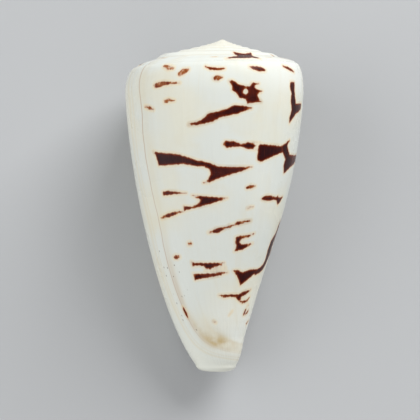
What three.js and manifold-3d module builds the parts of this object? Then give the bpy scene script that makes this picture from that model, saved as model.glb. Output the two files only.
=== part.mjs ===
// Cone shell, empty, lying on its opening. Millimetres, +Z up, spire towards +Y, opening side down.
// The shell coils about a straight axis. "Level" is the distance along that axis from the front tip,
// and "turns back" is how long ago a place was the growing lip, in turns of the coil.
import * as THREE from 'three';
import { mergeGeometries, mergeVertices } from 'three/addons/utils/BufferGeometryUtils.js';
import Module from 'manifold-3d';

// Driving dimensions
const shellLength = 60; // front tip to the point of the spire
const lipRadius = 18.2; // furthest that the lip stands from the coiling axis
const wideLevel = 50.3; // where the shell is widest
const spireGrowth = 0.168; // natural log of the growth in half a turn, at the shoulder and spire
const frontGrowth = 0.24; // how much faster the coil opens towards the front tip
const shoulderShare = 0.905; // radius of the shoulder's edge, as a share of the widest radius
const ridgeShare = 0.025; // how far each old shoulder stands proud on the spire, as a share of radius
const sutureShare = 0.8; // how far across its own ramp a turn reaches before it meets the older one
const lipThickness = 0.8;
const wallThickness = 1.5; // away from the lip
const cavityTurns = 0.82; // how far the hollow runs back from the lip
const lipAngle = THREE.MathUtils.degToRad(228); // place of the lip round the axis, +X being 0
const restTilt = THREE.MathUtils.degToRad(10.3); // the axis rises this much towards the spire
const restFlat = 0.2; // depth of the worn flats that the shell rests on

// Mesh fineness
const columnsPerTurn = 56;
const sideRows = 22;
const rampRows = 4;
const spireTurns = 5;
const cavityColumns = 44;
const cavityRows = 17;

// How the side tapers below its widest level, as shares of the widest radius
const taper = { even: 0.555, evenPower: 1.4, tip: 0.275, tipPower: 6 };
const frontOpening = { level: 9, reach: 17, fadesBelow: 7 }; // where the coil opens fastest

// Profile of the spire: a straight cone with a sharper point and a sagging rim
const spireSlope = 0.25;
const spirePoint = { height: 0.45, reach: 1.8 };
const spireSag = { fromRadius: 11, slope: 0.15, curve: 0.025 };
const ridgeRounding = { depth: 0.75, reach: 0.06 }; // shares of the ridge's height and of the ramp

// Front tip, rounded over a quarter ellipse
const endRound = 1.15; // along the axis
const endReach = 2.0; // and across it
const tipFlat = 0.3; // share of the tip's rows that lie on its small flat

// Shares of the side's rows that go to the front tip and to the shoulder
const tipEnds = 0.2;
const shoulderStarts = 0.78;

const lagAtFront = 112; // growth lines fall back by this many degrees over the level
const lagOffset = 2.5;

// The hollow
const thickeningTurns = 0.15; // over which the lip thickens to a full wall
const closingTurns = 0.2; // over which the hollow closes at its far end
const floor = { lowest: -1, rise: 10, fromTurns: 0.25, overTurns: 0.45 };
const roofAcross = 0.6; // the hollow's roof follows this line of the ramp above it
const roofRounding = { share: 0.8, power: 8 };
const pillar = { deepest: 1.4, reach: 9 }; // the canal cuts this far into the old whorl in front
const wallOverlap = 0.06; // keeps the hollow's inner wall clear of the old whorl's skin
const slimmest = 0.4; // the hollow is never thinner than this
const mouthTurns = 0.2; // the cutting shape reaches this far past the lip
const mouthReach = 4; // and this far beyond the lip's radius

const fullTurn = 2 * Math.PI;

function smoothStep(x) {
  const t = THREE.MathUtils.clamp(x, 0, 1);
  return t * t * (3 - 2 * t);
}

// The coil opens evenly at the shoulder and faster near the front.
function halfTurnGrowth(level) {
  const offset = (level - frontOpening.level) / frontOpening.reach;
  const nearFront = Math.exp(-(offset ** 2)) * smoothStep(level / frontOpening.fadesBelow);
  return spireGrowth + frontGrowth * nearFront;
}

// Radius of the outer surface on the long side, from the front tip to the widest level.
function sideRadius(turnsBack, level) {
  const below = THREE.MathUtils.clamp((wideLevel - level) / wideLevel, 0, 1);
  const share = 1 - taper.even * below ** taper.evenPower - taper.tip * below ** taper.tipPower;
  return lipRadius * share * Math.exp(-2 * turnsBack * halfTurnGrowth(level));
}

function shoulderRadius(turnsBack) {
  return shoulderShare * lipRadius * Math.exp(-2 * turnsBack * spireGrowth);
}

// Height lost between the point of the spire and a place on it. The early turns make a sharp point
// and the last turn's shoulder sags below the straight cone.
function spireDrop(radius) {
  const point = spirePoint.height * (1 - Math.exp(-radius / spirePoint.reach));
  const beyond = Math.max(0, radius - spireSag.fromRadius);
  const sag = spireSag.slope * beyond + spireSag.curve * beyond ** 2;
  return spireSlope * radius + point + sag;
}

// The ramp between one shoulder (across 0) and the next older one (across 1).
function rampPoint(turnsBack, across) {
  const radius = shoulderRadius(turnsBack + across);
  const toSuture = across / sutureShare;
  const pastSuture = (across - sutureShare) / (1 - sutureShare);
  const stepped = across < sutureShare ? 1 - 2 * toSuture : 2 * pastSuture - 1;
  const fromRidge = Math.min(across, 1 - across);
  const rounding = ridgeRounding.depth * Math.exp(-fromRidge / ridgeRounding.reach);
  const ridge = ridgeShare * radius * (stepped - rounding);
  return { radius, level: shellLength - spireDrop(radius) + ridge };
}

// Rounded shoulder: a quarter ellipse from the widest level (turn 0) to the shoulder's edge (turn 1).
function shoulderPoint(turnsBack, turn) {
  const edge = rampPoint(turnsBack, 0);
  const angle = (turn * Math.PI) / 2;
  const widest = sideRadius(turnsBack, wideLevel);
  return {
    radius: edge.radius + (widest - edge.radius) * Math.cos(angle),
    level: wideLevel + (edge.level - wideLevel) * Math.sin(angle),
  };
}

// Rounded front tip: from the axis (turn 0), over a small flat, to the side (turn 1).
function tipPoint(turnsBack, turn) {
  const flatRadius = sideRadius(turnsBack, endRound) - endReach;
  if (turn < tipFlat) {
    return { radius: (flatRadius * turn) / tipFlat, level: 0 };
  }
  const angle = (((turn - tipFlat) / (1 - tipFlat)) * Math.PI) / 2;
  return {
    radius: flatRadius + endReach * Math.sin(angle),
    level: endRound * (1 - Math.cos(angle)),
  };
}

// The whole outer side: share 0 is the front tip, share 1 the shoulder's edge.
function sidePoint(turnsBack, share) {
  if (share < tipEnds) {
    return tipPoint(turnsBack, share / tipEnds);
  }
  if (share > shoulderStarts) {
    return shoulderPoint(turnsBack, (share - shoulderStarts) / (1 - shoulderStarts));
  }
  const along = (share - tipEnds) / (shoulderStarts - tipEnds);
  const level = endRound + (wideLevel - endRound) * along;
  return { radius: sideRadius(turnsBack, level), level };
}

// Growth lines, and the lip with them, fall back as they near the front tip.
function growthLag(level) {
  return THREE.MathUtils.degToRad(lagAtFront / (Math.min(level, wideLevel) + lagOffset));
}

function placed({ radius, level }, turnsBack) {
  const angle = lipAngle - turnsBack * fullTurn - growthLag(level);
  return new THREE.Vector3(radius * Math.cos(angle), level, radius * Math.sin(angle));
}

// A sheet of triangles over a grid of points, with its empty triangles left out.
function sheet(pointAt, across, along) {
  const rows = [];
  for (let i = 0; i <= across; i += 1) {
    rows.push(Array.from({ length: along + 1 }, (_, j) => pointAt(i, j)));
  }
  const corners = [];
  for (let i = 0; i < across; i += 1) {
    for (let j = 0; j < along; j += 1) {
      corners.push(rows[i][j], rows[i + 1][j + 1], rows[i][j + 1]);
      corners.push(rows[i][j], rows[i + 1][j], rows[i + 1][j + 1]);
    }
  }
  return new THREE.BufferGeometry().setFromPoints(corners);
}

// Triangles from one point to each step of a line.
function fan(centre, line) {
  const corners = [];
  for (let k = 0; k + 1 < line.length; k += 1) {
    corners.push(centre, line[k + 1], line[k]);
  }
  return new THREE.BufferGeometry().setFromPoints(corners);
}

function closedSolid(wasm, pieces) {
  const merged = mergeVertices(mergeGeometries(pieces), 1e-4);
  const source = merged.index.array;
  const kept = [];
  for (let k = 0; k < source.length; k += 3) {
    const [a, b, c] = [source[k], source[k + 1], source[k + 2]];
    if (a !== b && b !== c && c !== a) {
      kept.push(a, b, c);
    }
  }
  return new wasm.Manifold(
    new wasm.Mesh({
      numProp: 3,
      vertProperties: merged.attributes.position.array,
      triVerts: new Uint32Array(kept),
    })
  );
}

// The shell without its hollow: the last turn's side, the spire's ramps, the point and the lip's step.
function outerPieces() {
  const side = (i, j) => {
    const turnsBack = i / columnsPerTurn;
    return placed(sidePoint(turnsBack, j / sideRows), turnsBack);
  };
  const ramp = (i, j) => {
    const turnsBack = i / columnsPerTurn;
    return placed(rampPoint(turnsBack, j / rampRows), turnsBack);
  };
  const lastColumn = columnsPerTurn * spireTurns;
  const summitEdge = [];
  for (let i = lastColumn - columnsPerTurn; i <= lastColumn; i += 1) {
    summitEdge.push(ramp(i, rampRows));
  }
  for (let j = rampRows - 1; j >= 0; j -= 1) {
    summitEdge.push(ramp(lastColumn, j));
  }
  const summit = new THREE.Vector3(0, shellLength, 0);
  const lipStep = (i, j) => side(i === 0 ? columnsPerTurn : 0, j);
  const lipTop = Array.from({ length: rampRows + 1 }, (_, j) => ramp(0, j));
  return [
    sheet(side, columnsPerTurn, sideRows),
    sheet(ramp, lastColumn, rampRows),
    fan(summit, summitEdge.reverse()),
    sheet(lipStep, 1, sideRows),
    fan(side(columnsPerTurn, sideRows), lipTop.reverse()),
  ];
}

// Radius of the outer surface at any level up to the shoulder's edge.
function outerRadius(turnsBack, level) {
  if (level <= wideLevel) {
    return sideRadius(turnsBack, level);
  }
  const edge = rampPoint(turnsBack, 0);
  const rise = Math.min(1, (level - wideLevel) / (edge.level - wideLevel));
  const widest = sideRadius(turnsBack, wideLevel);
  return edge.radius + (widest - edge.radius) * Math.sqrt(1 - rise * rise);
}

// The hollow's closed section at one angle, up its outer wall and down its inner one.
// Inside the lip turnsBack is positive. Past the lip it is negative, where the hollow opens out.
function cavitySection(turnsBack) {
  const inside = turnsBack >= 0;
  const back = Math.max(0, turnsBack);
  const closing = smoothStep((back - cavityTurns) / closingTurns + 1);
  const thickening = smoothStep(back / thickeningTurns);
  const wall = lipThickness + (wallThickness - lipThickness) * thickening;
  const floorRise = floor.rise * smoothStep((back - floor.fromTurns) / floor.overTurns);
  const floorLevel = floor.lowest + floorRise;
  const roofLevel = rampPoint(back, roofAcross).level - wall;
  const outer = [];
  const inner = [];
  for (let k = 0; k <= cavityRows; k += 1) {
    const share = k / cavityRows;
    const level = floorLevel + (roofLevel - floorLevel) * Math.sin((share * Math.PI) / 2);
    const canal = pillar.deepest * Math.exp(-((Math.max(0, level) / pillar.reach) ** 2));
    const canalCut = canal * smoothStep(1 + turnsBack / mouthTurns);
    const innerRadius = outerRadius(turnsBack + 1, level) + wallOverlap - canalCut;
    const raised = level + wall * roofRounding.share * share ** roofRounding.power;
    const walled = Math.max(outerRadius(back, raised) - wall, innerRadius + slimmest);
    const open = inside ? walled : lipRadius + mouthReach;
    outer.push({ radius: open + (innerRadius + slimmest - open) * closing, level });
    inner.push({ radius: innerRadius, level });
  }
  return outer.concat(inner.reverse());
}

function cavityPieces() {
  const outsideTurns = [1, 0.8, 0.6, 0.4, 0.2, 0.005].map((share) => -share * mouthTurns);
  const insideTurns = Array.from({ length: cavityColumns + 1 }, (_, i) => {
    return (cavityTurns * i) / cavityColumns;
  });
  const sections = outsideTurns.concat(insideTurns).map((turnsBack) => {
    return cavitySection(turnsBack).map((point) => placed(point, turnsBack));
  });
  const around = sections[0].length;
  const wallPoint = (i, j) => sections[i][j % around];
  const cap = (section) => (i, j) => section[i === 0 ? j : around - 1 - j];
  const last = sections.length - 1;
  return [
    sheet(wallPoint, last, around),
    sheet(cap([...sections[0]].reverse()), 1, cavityRows),
    sheet(cap(sections[last]), 1, cavityRows),
  ];
}

async function makeShell() {
  const wasm = await Module();
  wasm.setup();
  const rest = new THREE.Matrix4().makeRotationX(restTilt);
  const turned = (pieces) => pieces.map((piece) => piece.applyMatrix4(rest));
  const outer = closedSolid(wasm, turned(outerPieces()));
  const hollow = outer.subtract(closedSolid(wasm, turned(cavityPieces())));
  const lowest = hollow.boundingBox().min[2];
  const roomSide = 4 * shellLength;
  const room = new THREE.BoxGeometry(roomSide, roomSide, roomSide);
  room.translate(0, 0, lowest + restFlat + roomSide / 2);
  room.deleteAttribute('normal');
  room.deleteAttribute('uv');
  const cut = hollow.intersect(closedSolid(wasm, [room.toNonIndexed()]));
  const result = cut.getMesh();
  const geometry = new THREE.BufferGeometry();
  geometry.setAttribute('position', new THREE.BufferAttribute(result.vertProperties, 3));
  geometry.setIndex(new THREE.BufferAttribute(result.triVerts, 1));
  geometry.computeBoundingBox();
  const box = geometry.boundingBox;
  const centre = box.getCenter(new THREE.Vector3());
  geometry.translate(-centre.x, -centre.y, -box.min.z);
  geometry.computeVertexNormals();
  return geometry;
}

const porcelain = new THREE.MeshStandardMaterial({ color: 0xdedcd4, roughness: 0.25, metalness: 0 });
const shell = new THREE.Mesh(await makeShell(), porcelain);
shell.name = 'shell';

const group = new THREE.Group();
group.add(shell);
export default group;
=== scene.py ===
import math

import bpy
import numpy as np
from mathutils import Matrix, Vector


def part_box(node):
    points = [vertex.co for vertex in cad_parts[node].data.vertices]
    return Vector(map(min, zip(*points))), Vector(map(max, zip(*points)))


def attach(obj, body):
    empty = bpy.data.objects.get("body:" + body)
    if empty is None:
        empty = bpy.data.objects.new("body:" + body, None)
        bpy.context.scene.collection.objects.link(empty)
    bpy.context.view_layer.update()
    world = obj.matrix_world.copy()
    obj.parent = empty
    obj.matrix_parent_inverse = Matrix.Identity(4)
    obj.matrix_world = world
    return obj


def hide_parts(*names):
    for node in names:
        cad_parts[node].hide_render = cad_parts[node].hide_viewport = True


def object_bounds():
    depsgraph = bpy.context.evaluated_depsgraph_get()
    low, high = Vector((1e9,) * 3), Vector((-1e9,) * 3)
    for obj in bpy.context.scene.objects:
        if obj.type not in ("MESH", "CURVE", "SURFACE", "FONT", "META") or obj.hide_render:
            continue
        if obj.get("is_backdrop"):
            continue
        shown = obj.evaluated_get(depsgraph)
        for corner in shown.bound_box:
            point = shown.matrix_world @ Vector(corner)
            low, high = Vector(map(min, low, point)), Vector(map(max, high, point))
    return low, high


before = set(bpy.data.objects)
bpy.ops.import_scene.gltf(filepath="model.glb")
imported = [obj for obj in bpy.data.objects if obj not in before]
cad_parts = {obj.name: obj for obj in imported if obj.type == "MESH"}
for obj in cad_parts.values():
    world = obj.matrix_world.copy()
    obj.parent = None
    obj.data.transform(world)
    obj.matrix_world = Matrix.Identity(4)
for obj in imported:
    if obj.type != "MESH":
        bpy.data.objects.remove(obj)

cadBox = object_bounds()

# The shell is worked out in millimetres in a frame of its own: X to the right, Y along the coiling
# axis from the front tip (level 0) to the spire, Z towards the back of the shell. "Turns back" says
# how long ago a place was the growing lip, in turns of the coil.
shellSizes = {
    "Length": 60.0,
    "Lip Radius": 18.2,  # furthest that the lip stands from the axis
    "Wide Level": 50.3,  # where the shell is widest
    "Spire Growth": 0.168,  # natural log of the growth in half a turn, at the spire
    "Front Growth": 0.24,  # how much faster the coil opens near the front tip
    "Shoulder Share": 0.905,  # shoulder's edge, as a share of the widest radius
    "Ridge Share": 0.025,  # how proud each old shoulder stands on the spire
    "Suture Share": 0.8,  # how far across its ramp a turn meets the older one
    "Tip Round": 1.15,  # rounding of the front tip, along the axis
    "Tip Reach": 2.0,  # and across it
    "Lip Thickness": 0.5,
    "Wall Thickness": 1.5,
    "Hollow Turns": 0.82,  # how far the hollow runs back from the lip
    "Lip Angle": 228.0,  # place of the lip round the axis, X being 0
    "Line Height": 0.09,  # growth lines and swells on the outside
    "Cord Height": 0.018,  # spiral cords near the front tip
    "Back Packing": 0.3,  # how much closer the columns stand on the back of the shell
}
shellCounts = {
    "Columns": 300,  # round one turn
    "Side Rows": 176,
    "Ramp Rows": 9,
    "Spire Turns": 8,
    "Hollow Columns": 90,
    "Hollow Rows": 48,
}
mmInMetre = 1000.0
restTilt = math.radians(10.3)  # the axis rises this much towards the spire
restFlat = 0.2  # depth of the worn flats underneath


# Arithmetic that works on plain numbers and on sockets of a node tree
plainMath = {
    "EXPONENT": np.exp,
    "SINE": np.sin,
    "COSINE": np.cos,
    "SQRT": np.sqrt,
    "MINIMUM": np.minimum,
    "MAXIMUM": np.maximum,
}


def calc(operation, *values):
    trees = [value.tree for value in values if isinstance(value, Term)]
    if not trees:
        return plainMath[operation](*values)
    node = trees[0].nodes.new("ShaderNodeMath")
    node.operation = operation
    fill(trees[0], node.inputs, values)
    return Term(trees[0], node.outputs[0])


def fill(tree, sockets, values):
    for socket, value in zip(sockets, values):
        if isinstance(value, Term):
            tree.links.new(value.socket, socket)
        else:
            socket.default_value = value


class Term:
    def __init__(self, tree, socket):
        self.tree = tree
        self.socket = socket

    def __add__(self, other):
        return calc("ADD", self, other)

    def __radd__(self, other):
        return calc("ADD", other, self)

    def __sub__(self, other):
        return calc("SUBTRACT", self, other)

    def __rsub__(self, other):
        return calc("SUBTRACT", other, self)

    def __mul__(self, other):
        return calc("MULTIPLY", self, other)

    def __rmul__(self, other):
        return calc("MULTIPLY", other, self)

    def __truediv__(self, other):
        return calc("DIVIDE", self, other)

    def __rtruediv__(self, other):
        return calc("DIVIDE", other, self)

    def __pow__(self, other):
        return calc("POWER", self, other)


def clamped(value):
    return calc("MINIMUM", calc("MAXIMUM", value, 0.0), 1.0)


def smoothed(value):
    t = clamped(value)
    return t * t * (3.0 - 2.0 * t)


def mixed(a, b, share):
    return a + (b - a) * share


# 1 at the centre, fading on both sides of it
def near(value, centre, reach):
    offset = (value - centre) / reach
    return calc("EXPONENT", 0.0 - offset * offset)


# Sizes that note which of them a rule asks for
class NotedSizes(dict):
    def __init__(self, sizes):
        super().__init__(sizes)
        self.asked = []

    def __getitem__(self, name):
        if name not in self.asked:
            self.asked.append(name)
        return super().__getitem__(name)


# In a node tree a rule becomes a node group, built once and named as the rule is
def groupOf(rule, valueNames):
    noted = NotedSizes(shellSizes)
    trialValues = [0.5] * len(valueNames)
    results = rule(noted, *trialValues)
    resultCount = len(results) if isinstance(results, tuple) else 1
    tree = bpy.data.node_groups.new(rule.__name__, "GeometryNodeTree")
    for name in (*noted.asked, *valueNames):
        tree.interface.new_socket(name, in_out="INPUT", socket_type="NodeSocketFloat")
    for k in range(resultCount):
        tree.interface.new_socket(f"result {k + 1}", in_out="OUTPUT", socket_type="NodeSocketFloat")
    entry = tree.nodes.new("NodeGroupInput")
    size = {name: Term(tree, entry.outputs[name]) for name in noted.asked}
    results = rule(size, *[Term(tree, entry.outputs[name]) for name in valueNames])
    leave = tree.nodes.new("NodeGroupOutput")
    fill(tree, leave.inputs, results if isinstance(results, tuple) else (results,))
    tree["asked"] = noted.asked
    return tree


def shellRule(rule):
    valueNames = rule.__code__.co_varnames[1 : rule.__code__.co_argcount]

    def use(size, *values):
        tree = next((value.tree for value in values if isinstance(value, Term)), None)
        if tree is None:
            return rule(size, *values)
        group = bpy.data.node_groups.get(rule.__name__) or groupOf(rule, valueNames)
        node = tree.nodes.new("GeometryNodeGroup")
        node.node_tree = group
        fill(tree, node.inputs, [*(size[name] for name in group["asked"]), *values])
        results = tuple(Term(tree, socket) for socket in node.outputs)
        return results if len(results) > 1 else results[0]

    return use


# How the coil runs, in millimetres
coilShape = {
    "column shift": 0.12,  # turns that the closer columns are shifted round by
    "fast level": 9.0,  # near the front, where the coil opens fastest
    "fast reach": 17.0,
    "fast start": 7.0,  # that starts over this much of the tip
    "belly taper": 0.555,  # share of the widest radius that is gone by the tip
    "belly power": 1.4,
    "tip taper": 0.275,  # share that goes only close to the tip
    "tip power": 6.0,
    "spire slope": 0.25,
    "point height": 0.45,  # small point on top of the spire
    "point reach": 1.8,
    "sag radius": 11.0,  # further out than this the spire sags
    "sag": 0.15,
    "sag bend": 0.025,
    "ridge loss": 0.75,  # share of a ridge that is rounded away
    "ridge round": 0.06,  # and how far across the ramp
    "tip part": 0.08,  # share of the way up the side that rounds the tip
    "tip flat": 0.3,  # share of that part that is flat
    "shoulder part": 0.84,  # where the shoulder starts on the way up
}
# A growth line lags behind towards the front, and bends round the front tip. The tip was shorter
# when the shell was younger, so the older a line is, the higher it bends.
growthBend = {
    "lag": 112.0,  # degrees, over the distance from the tip of that time
    "tip now": -2.5,
    "tip rise": 23.5,  # for each turn back
    "until": 0.28,  # turns back
    "top level": 50.0,  # above this a line lags no less
    "least distance": 0.02,
    "halvings": 24,
}


# Columns stand closer together on the back of the shell than underneath
@shellRule
def columnTurn(size, column):
    turn = 2 * math.pi
    shift = coilShape["column shift"]
    swing = calc("SINE", (column + shift) * turn) - math.sin(shift * turn)
    return column + size["Back Packing"] * swing / turn


@shellRule
def halfTurnGrowth(size, level):
    nearFront = near(level, coilShape["fast level"], coilShape["fast reach"])
    opening = nearFront * smoothed(level / coilShape["fast start"])
    return size["Spire Growth"] + size["Front Growth"] * opening


@shellRule
def sideRadius(size, turnsBack, level):
    below = clamped((size["Wide Level"] - level) / size["Wide Level"])
    belly = coilShape["belly taper"] * below ** coilShape["belly power"]
    tip = coilShape["tip taper"] * below ** coilShape["tip power"]
    shrink = calc("EXPONENT", -2.0 * turnsBack * halfTurnGrowth(size, level))
    return size["Lip Radius"] * (1.0 - belly - tip) * shrink


@shellRule
def shoulderRadius(size, turnsBack):
    shrink = calc("EXPONENT", -2.0 * turnsBack * size["Spire Growth"])
    return size["Shoulder Share"] * size["Lip Radius"] * shrink


# Across a turn of the spire, from its shoulder (0) to the shoulder of the turn before (1)
@shellRule
def rampPoint(size, turnsBack, across):
    radius = shoulderRadius(size, turnsBack + across)
    point = coilShape["point height"] * (1.0 - calc("EXPONENT", radius / -coilShape["point reach"]))
    beyond = calc("MAXIMUM", radius - coilShape["sag radius"], 0.0)
    sag = coilShape["sag"] * beyond + coilShape["sag bend"] * beyond * beyond
    beforeSuture = 1.0 - 2.0 * across / size["Suture Share"]
    pastSuture = 2.0 * (across - size["Suture Share"]) / (1.0 - size["Suture Share"]) - 1.0
    fromRidge = calc("MINIMUM", across, 1.0 - across)
    rounding = coilShape["ridge loss"] * calc("EXPONENT", fromRidge / -coilShape["ridge round"])
    ridge = size["Ridge Share"] * radius * (calc("MAXIMUM", beforeSuture, pastSuture) - rounding)
    return radius, size["Length"] - coilShape["spire slope"] * radius - point - sag + ridge


@shellRule
def outerRadius(size, turnsBack, level):
    edgeRadius, edgeLevel = rampPoint(size, turnsBack, 0.0)
    rise = clamped((level - size["Wide Level"]) / (edgeLevel - size["Wide Level"]))
    widest = sideRadius(size, turnsBack, size["Wide Level"])
    pulledIn = (widest - edgeRadius) * (1.0 - calc("SQRT", 1.0 - rise * rise))
    return sideRadius(size, turnsBack, level) - pulledIn


# From the middle of the front tip (share 0) up the side to the shoulder's edge (share 1)
@shellRule
def sidePoint(size, turnsBack, share):
    quarter = math.pi / 2
    tipPart, flatPart = coilShape["tip part"], coilShape["tip flat"]
    shoulderPart = coilShape["shoulder part"]
    tipTurn = clamped(share / tipPart)
    tipAngle = clamped((tipTurn - flatPart) / (1.0 - flatPart)) * quarter
    shoulderAngle = clamped((share - shoulderPart) / (1.0 - shoulderPart)) * quarter
    along = clamped((share - tipPart) / (shoulderPart - tipPart))
    level = mixed(size["Tip Round"], size["Wide Level"], along)
    radius = sideRadius(size, turnsBack, level)
    flatRadius = sideRadius(size, turnsBack, size["Tip Round"]) - size["Tip Reach"]
    edgeRadius, edgeLevel = rampPoint(size, turnsBack, 0.0)
    widest = sideRadius(size, turnsBack, size["Wide Level"])
    radius = radius - size["Tip Reach"] * (1.0 - calc("SINE", tipAngle))
    radius = radius - flatRadius * (1.0 - clamped(tipTurn / flatPart))
    radius = radius - (widest - edgeRadius) * (1.0 - calc("COSINE", shoulderAngle))
    level = level - size["Tip Round"] * calc("COSINE", tipAngle)
    level = level + (edgeLevel - size["Wide Level"]) * calc("SINE", shoulderAngle)
    return radius, level


@shellRule
def placedAngle(size, turnsBack, level):
    fromTip = calc("MINIMUM", level, size["Wide Level"]) - growthBend["tip now"]
    return size["Lip Angle"] - 360.0 * turnsBack - growthBend["lag"] / fromTip  # degrees


@shellRule
def placed(size, radius, level, turnsBack):
    angle = placedAngle(size, turnsBack, level) * (math.pi / 180)
    return radius * calc("COSINE", angle), level + 0.0, radius * calc("SINE", angle)


def noiseTerm(x, y, detail):
    nodes = x.tree.nodes
    join = nodes.new("ShaderNodeCombineXYZ")
    fill(x.tree, join.inputs, (x, y))
    noise = nodes.new("ShaderNodeTexNoise")
    noise.inputs["Scale"].default_value = 1.0
    noise.inputs["Detail"].default_value = detail
    x.tree.links.new(join.outputs[0], noise.inputs["Vector"])
    return Term(x.tree, noise.outputs[0]) - 0.5


reliefShape = {
    "lines a turn": 90.0,
    "line drift": 0.05,  # how fast a line changes along its length
    "line detail": 3.0,
    "cord spacing": 1.25,
    "cord slant": 9.0,
    "cord top": 14.0,  # cords lie below this level
    "cord fade": 9.0,
    "tip fade": 2.5,
    "shoulder fade": 0.93,  # share of the way up the side where the relief starts to fade
}


# Low swells and growth lines, and spiral cords near the front tip
def sideRelief(size, turnsBack, level, share):
    relief = reliefShape
    turned, along = turnsBack * relief["lines a turn"], level * relief["line drift"]
    lines = noiseTerm(turned, along, relief["line detail"]) * size["Line Height"]
    spacing = 2 * math.pi / relief["cord spacing"]
    wave = calc("SINE", level * spacing + turnsBack * relief["cord slant"])
    cords = wave * smoothed((relief["cord top"] - level) / relief["cord fade"]) * size["Cord Height"]
    nearShoulder = smoothed((share - relief["shoulder fade"]) / (1.0 - relief["shoulder fade"]))
    return (lines + cords) * (smoothed(level / relief["tip fade"]) * (1.0 - nearShoulder))


def placedPosition(size, radius, level, turnsBack):
    tree = radius.tree
    join = tree.nodes.new("ShaderNodeCombineXYZ")
    fill(tree, join.inputs, placed(size, radius, level, turnsBack))
    return join.outputs[0]


def gridPosition(tree):
    split = tree.nodes.new("ShaderNodeSeparateXYZ")
    position = tree.nodes.new("GeometryNodeInputPosition")
    tree.links.new(position.outputs[0], split.inputs[0])
    return [Term(tree, socket) + 0.5 for socket in split.outputs]


def moved(tree, mesh, position):
    setter = tree.nodes.new("GeometryNodeSetPosition")
    tree.links.new(mesh, setter.inputs["Geometry"])
    tree.links.new(position, setter.inputs["Position"])
    return setter.outputs[0]


def setCount(tree, socket, count):
    if isinstance(count, Term):
        tree.links.new((count + 1.0).socket, socket)
    else:
        socket.default_value = count + 1


# A unit grid bent by a rule: rule(x, y) gives turns back, radius and level
def bent(tree, size, acrossCount, alongCount, rule):
    grid = tree.nodes.new("GeometryNodeMeshGrid")
    setCount(tree, grid.inputs["Vertices X"], acrossCount)
    setCount(tree, grid.inputs["Vertices Y"], alongCount)
    x, y, _ = gridPosition(tree)
    turnsBack, radius, level = rule(x, y)
    return moved(tree, grid.outputs["Mesh"], placedPosition(size, radius, level, turnsBack))


mergeGap = 0.0015  # points of two grids that are closer than this become one


def joined(tree, meshes):
    join = tree.nodes.new("GeometryNodeJoinGeometry")
    for mesh in reversed(meshes):
        tree.links.new(mesh, join.inputs[0])
    merge = tree.nodes.new("GeometryNodeMergeByDistance")
    merge.inputs["Distance"].default_value = mergeGap
    tree.links.new(join.outputs[0], merge.inputs["Geometry"])
    return merge.outputs[0]


# Says on every point whether it is on the outside (1) or in the hollow (0)
def labelled(tree, mesh, value):
    store = tree.nodes.new("GeometryNodeStoreNamedAttribute")
    store.data_type = "FLOAT"
    store.domain = "POINT"
    store.inputs["Name"].default_value = "skin"
    store.inputs["Value"].default_value = value
    tree.links.new(mesh, store.inputs["Geometry"])
    return store.outputs[0]


def outerSolid(tree, size):
    def side(turnsBack, share):
        radius, level = sidePoint(size, turnsBack, share)
        return turnsBack, radius + sideRelief(size, turnsBack, level, share), level

    def ramp(x, y):
        turnsBack = columnTurn(size, x * size["Spire Turns"])
        return (turnsBack, *rampPoint(size, turnsBack, y))

    def toSummit(turnsBack, across, share):
        radius, level = rampPoint(size, turnsBack, across)
        return turnsBack, radius * (1.0 - share), mixed(level, size["Length"], share)

    def lipTop(x, y):
        radius, level = rampPoint(size, y * 0.0, x)
        cornerRadius, cornerLevel = rampPoint(size, y * 0.0, 1.0)
        return y * 0.0, mixed(radius, cornerRadius, y), mixed(level, cornerLevel, y)

    def summit(x, y):
        return toSummit(columnTurn(size, x + size["Spire Turns"] - 1.0), 1.0, y)

    def summitEdge(x, y):
        return toSummit(size["Spire Turns"], 1.0 - x, y)

    summitRows = 3
    rampColumns = size["Columns"] * size["Spire Turns"]
    return joined(tree, [
        bent(tree, size, size["Columns"], size["Side Rows"], lambda x, y: side(columnTurn(size, x), y)),
        bent(tree, size, rampColumns, size["Ramp Rows"], ramp),
        bent(tree, size, size["Columns"], summitRows, summit),
        bent(tree, size, size["Ramp Rows"], summitRows, summitEdge),
        bent(tree, size, 1, size["Side Rows"], lambda x, y: side(1.0 - x, y)),
        bent(tree, size, size["Ramp Rows"], 1, lipTop),
    ])


hollowShape = {
    "wall growth": 0.15,  # turns from the lip in which the wall reaches its full thickness
    "end closing": 0.2,  # turns in which the far end closes
    "floor level": -1.0,  # at the lip, so that the front end is open
    "floor rise": 10.0,
    "rise start": 0.25,  # turns back where the floor starts to rise
    "rise turns": 0.45,
    "roof across": 0.6,  # place across the ramp that the roof lies under
    "roof round": 0.8,  # rounding of the roof's corner, as a share of the wall
    "roof power": 8.0,
    "axis cut": 1.4,  # extra room at the axis near the front
    "axis reach": 9.0,
    "axis gap": 0.06,  # between the hollow and the turn before it
    "least room": 0.4,
    "mouth turns": 0.2,  # how far past the lip the mouth is cut
    "mouth room": 4.0,  # and how far outside the lip
    # where the two blocks overlap at the lip
    "block start": -0.002,
    "mouth end": -0.0004,
}
crumbPoints = 1000  # a loose bit with fewer points than this isn't part of the shell


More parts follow.
